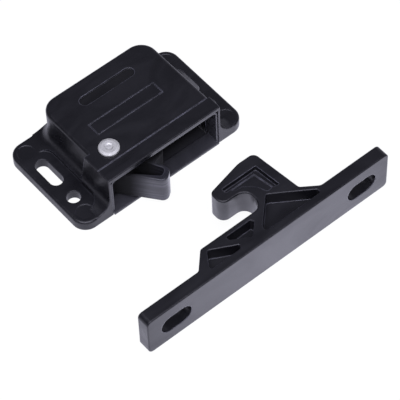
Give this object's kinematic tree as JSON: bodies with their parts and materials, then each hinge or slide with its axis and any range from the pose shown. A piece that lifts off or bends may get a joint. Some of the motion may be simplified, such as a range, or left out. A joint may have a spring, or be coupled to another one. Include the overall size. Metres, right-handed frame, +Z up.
{
  "type": "claw catch",
  "caption": "Push-to-close claw catch: a flanged case with a spring-loaded turning claw at its mouth, and a separate ribbed keeper bar with a hook that the claw grips.",
  "frame": {"origin": "middle of the mouth's lower front edge, on the mounting plane that the case and the keeper stand on", "axes": "+X along the mouth to the right, +Y from the mouth back into the case, +Z up from the mounting plane, along the claw's pivot"},
  "size_m": [0.0981, 0.0883, 0.0197],
  "materials": {
    "moulded_black": "moulded nylon, satin",
    "rivet_metal": "cold-headed, semi-bright",
    "spring_wire": "drawn wire",
    "acetal_black": "moulded acetal"
  },
  "bodies": {
    "catch": {"housing": "moulded_black", "base_plate": "moulded_black", "pivot_rivet": "rivet_metal"},
    "claw": {"cam": "moulded_black"},
    "guide": {"spring_guide": "acetal_black", "spring": "spring_wire"},
    "seat": {"spring_seat": "acetal_black"},
    "keeper": {"keeper": "moulded_black"}
  },
  "joints": [
    {"name": "cam_pivot", "type": "hinge", "parent": "catch", "child": "claw", "pos_m": [-0.0146, 0.01, 0.00755], "axis": [0, 0, 1], "range_deg": [0, 52], "deforming": ["spring"]},
    {"name": "guide_pivot", "type": "hinge", "parent": "claw", "child": "guide", "pos_m": [-0.00992, 0.0152, 0.00755], "axis": [0, 0, 1], "range_deg": [-74.2, 0]},
    {"name": "seat_pivot", "type": "hinge", "parent": "catch", "child": "seat", "pos_m": [-0.00854, 0.03115, 0.00755], "axis": [0, 0, 1], "range_deg": [-22.2, 0]},
    {"name": "keeper_slide", "type": "slide", "parent": "catch", "child": "keeper", "axis": [0, 1, 0], "range_m": [0, 0.018]}
  ],
  "couplings": [
    {"joint": "guide_pivot", "follows": "cam_pivot", "ratio": -1.4251},
    {"joint": "seat_pivot", "follows": "cam_pivot", "ratio": -0.42507}
  ]
}
